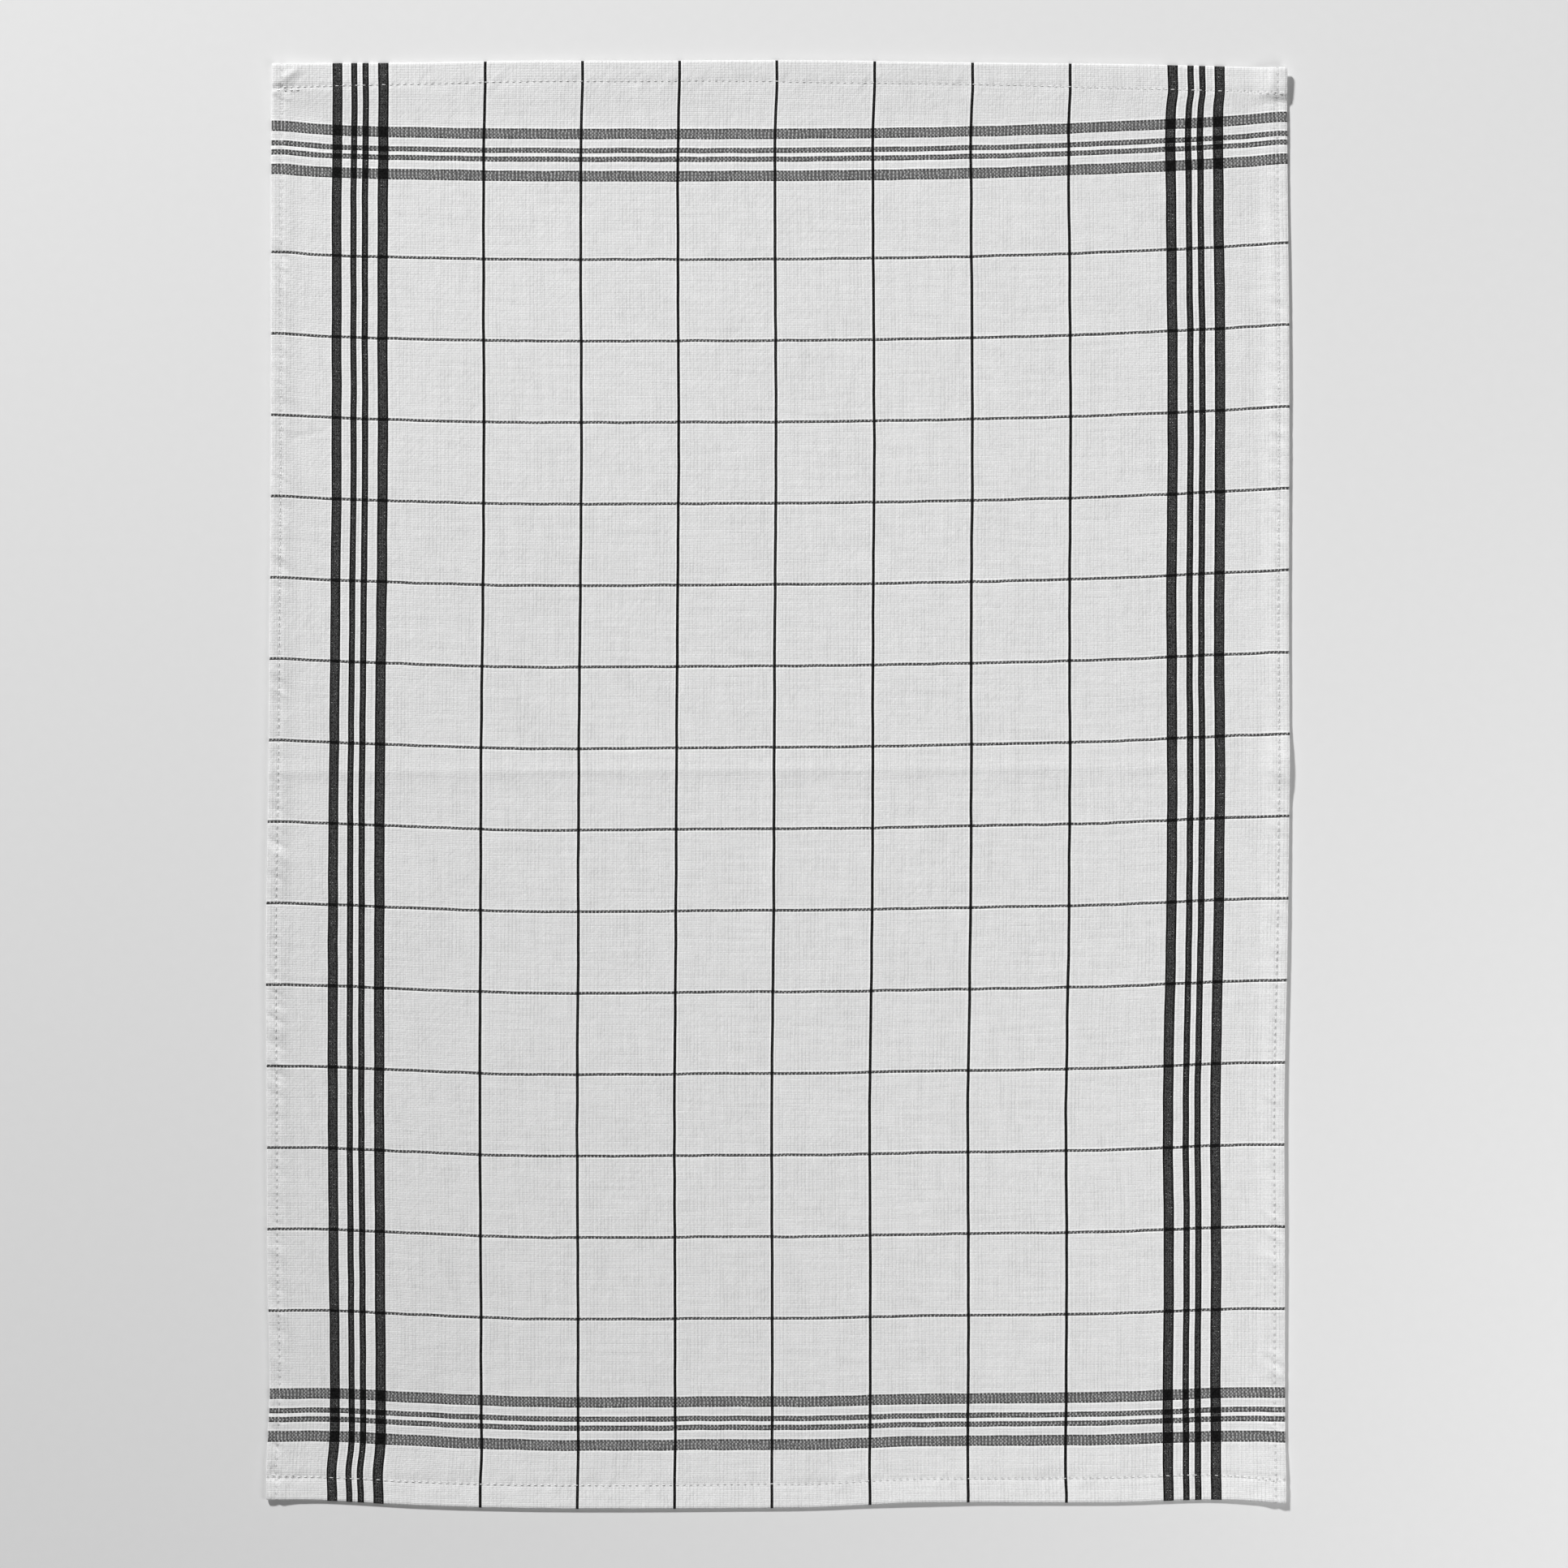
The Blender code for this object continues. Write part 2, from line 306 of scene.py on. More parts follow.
# The face drawn in along the stitches, and the short slanting ridges that the thread gathers beside them.
def seamHeight(across, along):
    height = np.zeros_like(across)
    for side, (off, run) in enumerate(seamPlaces(across, along)):
        onEnd = side >= 2
        groove = np.exp(-(off / seams["dipWidth"]) ** 2)
        holes = 1.0 - seams["holeDip"] + seams["holeDip"] * np.cos(2 * math.pi * run / seams["pitch"])
        near = np.exp(-(off / seams["puckerReach"]) ** 2)
        slanted = run + seams["slant"] * off * (1 if side in (0, 3) else -1)
        patches = softNoise(slanted, off * 0 + side * 9.0, seams["patch"], 31 + side)
        strength = 0.3 + 0.7 * softStep(patches, -0.5, 0.9)
        ridges = (ridgeHeight(slanted, off, seams["fineRidges"], 41 + side)
                  + ridgeHeight(slanted, off, seams["wideRidges"], 51 + side))
        puffs = -np.cos(2 * math.pi * slanted / seams["pitch"]) * np.abs(off) / (np.abs(off) + 1.0)
        draw = 1.0
        if onEnd:
            nearCorner = softStep(np.abs(run), seams["dipFrom"], seams["dipTo"])
            draw = seams["endDip"] + (1.0 - seams["endDip"]) * nearCorner
        height = height - seams["dip"] * draw * groove * holes
        gather = seams["endGather"] if onEnd else seams["sideGather"]
        height = height + (seams["pucker"] * ridges + seams["puff"] * puffs) * strength * gather * near
    return height


# How far a place has climbed on to the side hems and the end hems: zero in the field, one on a hem.
def hemShares(across, along):
    fromSide, fromEnd = halfWidth - np.abs(across), halfLength - np.abs(along)
    sideShare = softStep(fromSide, towel["sideHem"] + towel["easing"], towel["sideHem"] - towel["hemStep"])
    atTopRight = (along > 0) * softStep(across, towel["rightFrom"], towel["rightTo"])
    endEasing = towel["endEasing"] * (1.0 + towel["rightEasing"] * atTopRight)
    endShare = softStep(fromEnd, towel["endHem"] + endEasing, towel["endHem"] - towel["hemStep"])
    return sideShare, endShare


# Height of the face: field, hems and corners, with lifts, folds, wrinkles, seams and the field's swell.
def faceHeight(across, along):
    sideShare, endShare = hemShares(across, along)
    both, either = sideShare * endShare, np.maximum(sideShare, endShare)
    height = towel["fieldFace"] + (towel["hemFace"] - towel["fieldFace"]) * (sideShare + endShare - both)
    height = height + (towel["cornerFace"] - towel["hemFace"]) * both
    swell = sum(top * softNoise(across, along, cell, seed) for cell, top, seed in waves.values())
    height = height + np.maximum(swell * (1.0 - towel["hemCalm"] * either), towel["deepest"])
    lift = liftHeight(across, along)
    height = height + lift + foldHeight(across, along) + wrinkleHeight(across, along)
    return np.maximum(height + seamHeight(across, along), lift + seams["leastFace"] * either)


# Height of the underside: hems lie on the table, the field is one layer under its face.
def underHeight(across, along):
    fromSide, fromEnd = halfWidth - np.abs(across), halfLength - np.abs(along)
    inHem = np.minimum(fromSide - towel["sideHem"], fromEnd - towel["endHem"]) < towel["innerFold"] / 2
    grooves = [np.exp(-(off / seams["hollowWidth"]) ** 2) for off, run in seamPlaces(across, along)]
    hemUnder = liftHeight(across, along) + seams["hollow"] * np.max(grooves, axis=0) + towel["clear"]
    return np.where(inHem, hemUnder, np.maximum(faceHeight(across, along) - towel["layer"], towel["clear"]))


# Grid lines in from one edge: even steps between the turn, the seam, the inner fold and the ring's end.
def edgeLines(seam, hem):
    stops = (towel["turn"], seam, hem, hem + towel["innerFold"], towel["ring"])
    runs = [np.linspace(start, end, max(1, round((end - start) / towel["fineCell"])) + 1)[:-1]
            for start, end in zip(stops, stops[1:])]
    return np.append(np.concatenate(runs), towel["ring"])


# All grid lines of one direction, and how many of them the ring takes at each end.
def gridLines(half, seam, hem):
    edge = edgeLines(seam, hem)
    span = 2 * (half - towel["ring"])
    wide = round(span / (towel["fineCell"] * towel["coarse"]))
    middle = np.linspace(-span / 2, span / 2, wide * towel["coarse"] + 1)
    return np.concatenate((edge - half, middle[1:-1], half - edge[::-1])), len(edge) - 1


# Which grid lines the cells of a part use: every few lines, and each line near a fold.
def chosenLines(lines, start, stop, step, fold, reach):
    nearFold = np.nonzero(np.abs(lines - fold) < reach)[0]
    return np.union1d(np.append(np.arange(start, stop, step), stop), nearFold)


# Quads between neighbouring lines, counter-clockwise from above.
def quadsBetween(number, columns, rows):
    left, right = columns[:-1, None], columns[1:, None]
    low, high = rows[None, :-1], rows[None, 1:]
    corners = (number[left, low], number[right, low], number[right, high], number[left, high])
    return np.stack(corners, axis=-1)


# One cell's outline with every used point along its sides, for cells that meet closer ones.
def cellOutline(number, left, right, low, high):
    toRight, up = number[left:right, low], number[right, low:high]
    toLeft, down = number[right:left:-1, high], number[left, high:low:-1]
    walk = np.concatenate((toRight, up, toLeft, down))
    return walk[walk >= 0].tolist()


# Cells between chosen lines: quads inside, and outlines along the border, where closer points may lie.
def patchFaces(number, columns, rows):
    quads = quadsBetween(number, columns, rows)
    faces = quads[1:-1, 1:-1].reshape(-1, 4).tolist()
    lastColumn, lastRow = len(columns) - 2, len(rows) - 2
    for column, row in np.ndindex(quads.shape[:2]):
        if column in (0, lastColumn) or row in (0, lastRow):
            faces.append(cellOutline(number, *columns[column:column + 2], *rows[row:row + 2]))
    return faces


# Numbers the points that are used, in order, and leaves -1 elsewhere.
def numberPoints(used, first):
    number = np.full(used.shape, -1)
    number[used] = np.arange(first, first + used.sum())
    return number


# The grid's border, counter-clockwise from the lower left corner, with its outward directions.
def borderWalk(columnCount, rowCount):
    right, top = columnCount - 1, rowCount - 1
    rightwards, upwards = np.arange(right), np.arange(top)
    leftwards, downwards = np.arange(right, 0, -1), np.arange(top, 0, -1)
    column = np.concatenate((rightwards, np.full(top, right), leftwards, np.zeros(top, int)))
    row = np.concatenate((np.zeros(right, int), upwards, np.full(right, top), downwards))
    outX = (column == right).astype(float) - (column == 0)
    outY = (row == top).astype(float) - (row == 0)
    reach = np.where((outX != 0) & (outY != 0), 0.8, 1.0)  # corners are a little rounded
    return column, row, outX * reach, outY * reach


# A mesh from points in metres and faces of any length, smooth shaded.
def meshFrom(name, points, faces):
    mesh = bpy.data.meshes.new(name)
    mesh.from_pydata(points, [], faces)
    mesh.shade_smooth()
    mesh.update()
    piece = bpy.data.objects.new(name, mesh)
    bpy.context.scene.collection.objects.link(piece)
    return piece


# A UV map from one place for each face corner.
def addMap(mesh, name, places):
    layer = mesh.uv_layers.new(name=name)
    layer.uv.foreach_set("vector", places.astype(np.float32).ravel())


# The point that each face corner of a mesh uses.
def cornerPoints(mesh):
    corner = np.empty(len(mesh.loops), dtype=np.int32)
    mesh.loops.foreach_get("vertex_index", corner)
    return corner


linesAcross, ringAcross = gridLines(halfWidth, seams["side"], towel["sideHem"])
linesAlong, ringAlong = gridLines(halfLength, seams["top"], towel["endHem"])


# The towel: face grid, underside grid and the rounded outer turn that joins them, closed all round.
def makeCloth():
    countAcross, countAlong = len(linesAcross), len(linesAlong)
    upFold, crossFold = creases["lengthAt"], creases["crossAt"] - creases["crossDrop"]
    innerAcross = chosenLines(linesAcross, ringAcross, countAcross - 1 - ringAcross, towel["coarse"],
                              upFold, creases["closeAcross"])
    innerAlong = chosenLines(linesAlong, ringAlong, countAlong - 1 - ringAlong, towel["coarse"],
                             crossFold, creases["closeAlong"])

    # face: every point in the ring, chosen ones inside it
    faceUsed = np.ones((countAcross, countAlong), bool)
    faceUsed[ringAcross + 1:-ringAcross - 1, ringAlong + 1:-ringAlong - 1] = False
    faceUsed[np.ix_(innerAcross, innerAlong)] = True
    faceNumber = numberPoints(faceUsed, 0)
    allQuads = quadsBetween(faceNumber, np.arange(countAcross), np.arange(countAlong))
    inRing = np.ones(allQuads.shape[:2], bool)
    inRing[ringAcross:-ringAcross, ringAlong:-ringAlong] = False
    faceFaces = allQuads[inRing].tolist() + patchFaces(faceNumber, innerAcross, innerAlong)

    # underside: wide cells, with the lines of the hems' inner folds, and every point along the border
    def underLines(lines, ring, seam, hem, fold):
        keep = (towel["turn"], 2.9, seam, hem, hem + towel["innerFold"], hem + 5.0)
        half = -lines[0] + towel["turn"]
        nearEdge = [int(np.argmin(np.abs(lines - (place - half)))) for place in keep]
        mirrored = [len(lines) - 1 - line for line in nearEdge]
        inside = chosenLines(lines, ring, len(lines) - 1 - ring, towel["underCoarse"], fold,
                             creases["closeUnder"])
        return np.unique(np.concatenate((nearEdge, mirrored, inside)))

    underAcross = underLines(linesAcross, ringAcross, seams["side"], towel["sideHem"], upFold)
    underAlong = underLines(linesAlong, ringAlong, seams["top"], towel["endHem"], crossFold)
    underUsed = np.zeros_like(faceUsed)
    underUsed[np.ix_(underAcross, underAlong)] = True
    underUsed[[0, -1], :] = True
    underUsed[:, [0, -1]] = True
    underNumber = numberPoints(underUsed, faceUsed.sum())
    underFaces = [face[::-1] for face in patchFaces(underNumber, underAcross, underAlong)]

    # the outer turn: half an ellipse from the face's border to the underside's
    column, row, outX, outY = borderWalk(countAcross, countAlong)
    borderAcross, borderAlong = linesAcross[column], linesAlong[row]
    high, low = faceHeight(borderAcross, borderAlong), underHeight(borderAcross, borderAlong)
    angles = np.linspace(math.pi / 2, -math.pi / 2, towel["turnRows"] + 2)[1:-1, None]
    bulge = towel["turn"] * np.cos(angles)
    turnAcross, turnAlong = borderAcross + outX * bulge, borderAlong + outY * bulge
    turnHeight = (high + low) / 2 + (high - low) / 2 * np.sin(angles)
    firstTurn = faceUsed.sum() + underUsed.sum()
    turnNumber = firstTurn + np.arange(turnAcross.size).reshape(turnAcross.shape)
    rows = np.vstack((faceNumber[column, row], turnNumber, underNumber[column, row]))
    ahead = np.roll(rows, -1, axis=1)
    turnFaces = np.stack((rows[:-1], rows[1:], ahead[1:], ahead[:-1]), axis=-1).reshape(-1, 4).tolist()

    faceColumn, faceRow = np.nonzero(faceUsed)
    underColumn, underRow = np.nonzero(underUsed)
    across = np.concatenate((linesAcross[faceColumn], linesAcross[underColumn], turnAcross.ravel()))
    along = np.concatenate((linesAlong[faceRow], linesAlong[underRow], turnAlong.ravel()))
    height = np.concatenate((
        faceHeight(linesAcross[faceColumn], linesAlong[faceRow]),
        underHeight(linesAcross[underColumn], linesAlong[underRow]),
        turnHeight.ravel(),
    ))
    x, y = onTable(across, along)
    middle = (x.min() + x.max()) / 2, (y.min() + y.max()) / 2
    points = np.stack((x - middle[0], y - middle[1], height), axis=-1) * metres
    piece = meshFrom("tea_towel_cloth", points, faceFaces + turnFaces + underFaces)

    # the map of the threads, in millimetres: past the edge it runs on round the turn
    def pastBorder(reach):
        return np.stack((borderAcross + outX * reach, borderAlong + outY * reach), axis=-1)

    corner = cornerPoints(piece.data)
    wrapped = np.stack((across, along), axis=-1)
    wrapped[turnNumber] = pastBorder(np.arange(1, towel["turnRows"] + 1)[:, None] * towel["turn"])
    beyond = wrapped.copy()
    beyond[underNumber[column, row]] = pastBorder((towel["turnRows"] + 1) * towel["turn"])
    upperCorners = sum(len(face) for face in faceFaces) + 4 * len(turnFaces)
    places = np.concatenate((beyond[corner[:upperCorners]], wrapped[corner[upperCorners:]]))
    addMap(piece.data, "cloth", places)

    # the map for textures that are baked: the face in the left half, the underside in the right one
    margin = 8.0
    shelf = places * 0.48 / (towel["width"] + margin) + np.array((0.25, 0.5))
    shelf[upperCorners:, 0] = 1.0 - shelf[upperCorners:, 0]
    addMap(piece.data, "OFBake", shelf)
    piece.data.uv_layers.active = piece.data.uv_layers["cloth"]
    piece.data.uv_layers["cloth"].active_render = True
    print("2. cloth:", len(points), "points,", len(piece.data.polygons), "faces")
    return piece, middle


cloth, middle = makeCloth()

# ---- the sewing

sewing = {
    "thick": 0.40, "rise": 0.12, "sink": 0.32,  # the thread, its arch over the cloth, its dive at a hole
    "thinEnd": 0.6,  # a stitch's thickness at its ends, as a share
    "gap": 0.5,  # left at each end of a stitch
    "rings": 5, "sides": 6,
    "sway": 0.13,  # how unevenly the machine laid the stitches
    "inset": 1.6,  # how far in from the edge a seam ends
    # stitches sewn back over a seam's end, how far beside it, and how they lean
    "tack": 4, "tackOff": 0.75, "topTackOff": 2.3, "tackSlant": 0.2,
}


# Stitches between holes: tubes carried along short arches, their ends shrunk and sunk into the cloth.
def stitchTubes(start, end, surface, facing):
    t = np.linspace(0.0, 1.0, sewing["rings"])
    spine = start[:, None] + (end - start)[:, None] * t[None, :, None]
    across, along = spine[..., 0], spine[..., 1]
    arch = np.sin(math.pi * t) ** 0.5
    offset = -sewing["sink"] + (sewing["sink"] + sewing["rise"]) * arch
    x, y = onTable(across, along)
    z = surface(across, along) + facing * offset
    centre = np.stack((x - middle[0], y - middle[1], z), axis=-1)
    ahead = centre[:, -1:] - centre[:, :1]
    ahead = ahead / np.linalg.norm(ahead, axis=-1, keepdims=True)
    beside = np.cross(ahead, np.array((0.0, 0.0, 1.0)))
    beside = beside / np.linalg.norm(beside, axis=-1, keepdims=True)
    above = np.cross(beside, ahead)
    radius = sewing["thick"] / 2 * (sewing["thinEnd"] + (1.0 - sewing["thinEnd"]) * arch)
    angle = 2 * math.pi * np.arange(sewing["sides"]) / sewing["sides"]
    wheel = np.cos(angle)[:, None] * beside[:, :, None] + np.sin(angle)[:, None] * above[:, :, None]
    return centre[:, :, None] + wheel * radius[None, :, None, None]


# Holes along a seam at the stitch pitch, unevenly spaced by the sway, as pairs of stitch ends.
def seamStitches(lineStart, lineEnd, seed):
    lineStart, lineEnd = np.array(lineStart), np.array(lineEnd)
    length = np.linalg.norm(lineEnd - lineStart)
    count = int(length / seams["pitch"])
    ahead = (lineEnd - lineStart) / length
    beside = np.array((-ahead[1], ahead[0]))
    random = np.random.RandomState(seed)
    run = np.arange(count + 1) * length / count + random.uniform(-1.0, 1.0, count + 1) * sewing["sway"]
    off = random.uniform(-1.0, 1.0, count + 1) * sewing["sway"]
    holes = lineStart + run[:, None] * ahead + off[:, None] * beside
    gap = sewing["gap"] * ahead
    return holes[:-1] + gap, holes[1:] - gap


# All four seams with the back-stitched ends of the end hems.
def makeSewing():
    side, edge = halfWidth - seams["side"], halfWidth - sewing["inset"]
    end, topLine = halfLength - sewing["inset"], halfLength - seams["top"]

    def bent(places):
        return places - np.stack((np.zeros(len(places)), bottomBend(places[:, 0])), axis=-1)

    def tackRow(across, line, way, seed):
        reach = sewing["tack"] * seams["pitch"] * way
        return seamStitches((across, line), (across + reach, line + sewing["tackSlant"]), seed)

    bottomLeft, bottomRight = bottomStraight(-edge), bottomStraight(edge)
    straight = [
        seamStitches((-side, -end), (-side, end), 1),
        seamStitches((side, -end), (side, end), 2),
        seamStitches((-edge, topLine), (edge, topLine), 3),
        tackRow(edge, topLine - sewing["topTackOff"], -1, 5),
        tackRow(-edge, topLine - sewing["topTackOff"], 1, 6),
    ]
    bottom = [
        seamStitches((-edge, bottomLeft), (edge, bottomRight), 4),
        tackRow(-edge, bottomLeft + sewing["tackOff"], 1, 7),
        tackRow(edge, bottomRight - sewing["tackOff"], -1, 8),
    ]
    rows = straight + [(bent(firsts), bent(lasts)) for firsts, lasts in bottom]
    starts, ends = (np.concatenate(places) for places in zip(*rows))
    surfaces = ((faceHeight, 1.0), (underHeight, -1.0))
    tubes = np.concatenate([stitchTubes(starts, ends, surface, facing) for surface, facing in surfaces])
    count, rings, sides = tubes.shape[:3]
    number = np.arange(count * rings * sides).reshape(count, rings, sides)
    turned = np.roll(number, -1, axis=2)
    walls = np.stack((number[:, :-1], turned[:, :-1], turned[:, 1:], number[:, 1:]), axis=-1)
    faces = walls.reshape(-1, 4).tolist() + np.concatenate((number[:, 0, ::-1], number[:, -1])).tolist()
    piece = meshFrom("hem_stitching", tubes.reshape(-1, 3) * metres, faces)
    corner = cornerPoints(piece.data)
    ring, turn = corner // sides % rings, corner % sides
    addMap(piece.data, "thread", np.stack((turn / sides, ring / (rings - 1)), axis=-1))
    print("3. sewing:", count, "stitches,", len(piece.data.polygons), "faces")
    return piece


stitching = makeSewing()

# ---- node helpers


# What comes out of a node. Plain arithmetic with it makes maths nodes.
class Wire:
    def __init__(self, tree, socket):
        self.tree = tree
        self.socket = socket

    def __add__(self, other):
        return maths("ADD", self, other)

    def __sub__(self, other):
        return maths("SUBTRACT", self, other)

    def __rsub__(self, other):
        return maths("SUBTRACT", other, self)

    def __mul__(self, other):
        return maths("MULTIPLY", self, other)

    def __truediv__(self, other):
        return maths("DIVIDE", self, other)

    def __mod__(self, other):
        return maths("FLOORED_MODULO", self, other)

    def __abs__(self):
        return maths("ABSOLUTE", self)

    def floor(self):
        return maths("FLOOR", self)

    def fraction(self):
        return maths("FRACT", self)

    def sine(self):
        return maths("SINE", self)

    def atLeast(self, other):
        return maths("MAXIMUM", self, other)

    def atMost(self, other):
        return maths("MINIMUM", self, other)

    # An eased step: zero at start, one at end.
    def step(self, start, end):
        inputs = {0: self, 1: start, 2: end}
        return addNode(self.tree, "MapRange", inputs, interpolation_type="SMOOTHSTEP")[0]


# Joins a wire to an input, or sets the input's own value.
def feed(value, socket):
    if isinstance(value, Wire):
        value.tree.links.new(value.socket, socket)
    else:
        socket.default_value = value


# A node with its settings made and its inputs fed, by name or place. Gives the wires that come out.
def addNode(tree, kind, inputs, **settings):
    node = tree.nodes.new("ShaderNode" + kind)
    for setting, value in settings.items():
        setattr(node, setting, value)
    for place, value in inputs.items():
        feed(value, node.inputs[place])
    return [Wire(tree, output) for output in node.outputs]


# A maths node, in the tree of the first wire that it is fed.
def maths(operation, *values):
    tree = next(value.tree for value in values if isinstance(value, Wire))
    return addNode(tree, "Math", dict(enumerate(values)), operation=operation)[0]


# A number between two others, by a share.
def blend(share, first, second):
    return addNode(share.tree, "Mix", {0: share, 2: first, 3: second}, data_type="FLOAT")[0]


# A grey between two others, by a share.
def blendGreys(share, first, second):
    inputs = {0: share, 6: (first, first, first, 1.0), 7: (second, second, second, 1.0)}
    return addNode(share.tree, "Mix", inputs, data_type="RGBA")[2]


# Noise at a place, as a number round one half.
def noise(place, scale, detail=1.0, dimensions="2D"):
    inputs = {"Vector": place, "Scale": scale, "Detail": detail}
    return addNode(place.tree, "TexNoise", inputs, noise_dimensions=dimensions)[0]


# Two numbers as one place.
def placeAt(first, second):
    return addNode(first.tree, "CombineXYZ", {0: first, 1: second})[0]


# A piece's UV map as a place and as its two numbers.
def mapPlace(tree, name):
    place = addNode(tree, "UVMap", {}, uv_map=name)[0]
    first, second = addNode(tree, "SeparateXYZ", {0: place})[:2]
    return place, first, second


# Small relief on a shader from a height.
def addRelief(shader, height, strength, distance):
    inputs = {"Height": height, "Strength": strength, "Distance": distance}
    feed(addNode(height.tree, "Bump", inputs)[0], shader.inputs["Normal"])


# An empty node group with named number inputs, and their wires.
def newGroup(name, **inputs):
    group = bpy.data.node_groups.new(name, "ShaderNodeTree")
    for label, value in inputs.items():
        socket = group.interface.new_socket(label, in_out="INPUT", socket_type="NodeSocketFloat")
        socket.default_value = value
    given = group.nodes.new("NodeGroupInput").outputs
    return group, SimpleNamespace(**{label: Wire(group, given[label]) for label in inputs})


# Gives a group its named outputs.
def endGroup(group, **outputs):
    for label in outputs:
        group.interface.new_socket(label, in_out="OUTPUT", socket_type="NodeSocketFloat")
    result = group.nodes.new("NodeGroupOutput").inputs
    for label, value in outputs.items():
        feed(value, result[label])
    return group


# Places a group in a tree, feeds its named inputs and gives the wires of its outputs.
def useGroup(tree, group, **inputs):
    node = tree.nodes.new("ShaderNodeGroup")
    node.node_tree = group
    for label, value in inputs.items():
        feed(value, node.inputs[label])
    return SimpleNamespace(**{output.name: Wire(tree, output) for output in node.outputs})


# A new material with its shader.
def newMaterial(name):
    material = bpy.data.materials.new(name)
    material.use_nodes = True
    return material, material.node_tree, material.node_tree.nodes["Principled BSDF"]


# ---- the cloth's finish

weave = {
    "endPitch": 0.9108, "darkEndPitch": 0.62, "pickPitch": 0.8648,  # warp, crammed dark warp and weft
    "waverAcross": (0.04, 0.5), "waverAlong": (0.06, 0.6),  # scale and reach of the threads' wavering
    "crimp": 0.8,  # how far the threads rise over each other, against their thickness
    "darkWarpBias": 1.85,  # how far the dark warp covers the weft
    "darkWeftBias": -0.45,  # and the dark weft the warp
    "slubBias": 0.6, "speckleBias": 1.6,  # how far slubs and speckles change which thread covers
    "ribs": 0.25, "darkRibs": 1.6,  # how much higher one end of a pair stands, in pale and in dark weft
    "ribPatch": (0.13, 0.2), "ribContrast": 7.0,  # scale and sharpness of patches where it's the other end
    "gap": 0.14, "gapChange": 0.40,  # share of a pair's width left open at each side, and how that varies
    "leastGap": 0.02,
    "gapShade": 0.12,  # painted shade: how much darker the cloth is in the open gaps between pairs
    "yarnShade": 0.24,  # how much one yarn differs from the next
    "dipShade": (0.08, 0.925),  # painted shade in the weave: how much brighter the threads' tops are than the dips, and the dips
    "speckle": 1.1,  # scale of the speckles
    # how strongly they show: pale threads, dark weft and dark warp
    "paleSpeckle": 0.20, "weftSpeckle": 1.4, "warpSpeckle": 5.5, "leastSpeckle": 0.2,
    "brightening": 0.20, "brighteningWidth": 1.0, "brighteningCore": 0.3,  # pale threads are brighter right beside dark ones
    "edgePaintedHighlight": 0.05, "farEdgePaintedHighlight": 0.17,  # painted highlight along the edges, stronger along the right and bottom ones, which face away from the key lamp
    "bottomHemPaintedLight": 0.09,  # painted light over the whole bottom hem
    "holeRim": 0.95, "holeCore": 0.35, "holeShade": 0.30,  # needle holes, with painted shade in them
    "crinkle": 1.8,  # height of the tiny slanting creases, against the threads
    "crinkleScale": (0.07, 0.42),  # along and across their slant
    "stripeEdge": 0.8,  # how much more the dark warp covers along a stripe's edges
    # tones: pale yarn, pale yarn among dark, dark weft and its edges, dark warp and its edges, both crossing
    "pale": 0.815, "paleAmongDark": 0.37, "darkWeft": 0.115, "weftEdge": 0.055,
    "darkWarp": 0.031, "darkEdge": 0.006, "darkest": 0.004,
    "reliefStrength": 0.7, "reliefHeight": 0.00009,
    "roughness": (0.12, 0.82), "specular": 0.12, "sheen": 0.02, "sheenRoughness": 0.45,
}

warpStripes = {
    "spacing": 47.68, "shift": 0.5, "lineWidth": 1.42, "linesEnd": 160.0, "middle": 0.0,
    "innerThick": 192.4, "innerThin": 201.05, "outerThin": 206.75, "outerThick": 215.3,
    "thickWidth": 5.08, "thinWidth": 3.15,
}

weftStripes = {
    "spacing": 39.78, "shift": 0.0, "lineWidth": 1.4, "linesEnd": 270.0, "middle": -2.6,
    "innerThick": 299.4, "innerThin": 307.4, "outerThin": 311.8, "outerThick": 320.1,
    "thickWidth": 5.2, "thinWidth": 2.85,
}


# One stripe: how far the place is inside its nearer edge, negative outside it.
def stripeDepth(place, centre, width):
    return width * 0.5 - abs(place - centre)


# The stripes of one direction: evenly spaced single lines, then a border of thick, thin, thin and thick.
def stripeGroup():
    group, given = newGroup("border_stripes", place=0.0, linePlace=0.0, **warpStripes)
    outside = -100.0  # deeper outside than any stripe is wide
    out = abs(given.place - given.middle)
    turns = abs(given.linePlace - given.middle) / given.spacing + given.shift
    lines = stripeDepth((turns.fraction() - 0.5) * given.spacing, 0.0, given.lineWidth)
    inside = maths("GREATER_THAN", out, given.linesEnd) * outside + lines
    for centre, width in ((given.innerThick, given.thickWidth), (given.innerThin, given.thinWidth),
                          (given.outerThin, given.thinWidth), (given.outerThick, given.thickWidth)):
        inside = inside.atLeast(stripeDepth(out, centre, width))
    return endGroup(group, dark=maths("GREATER_THAN", inside, 0.0), inside=inside)


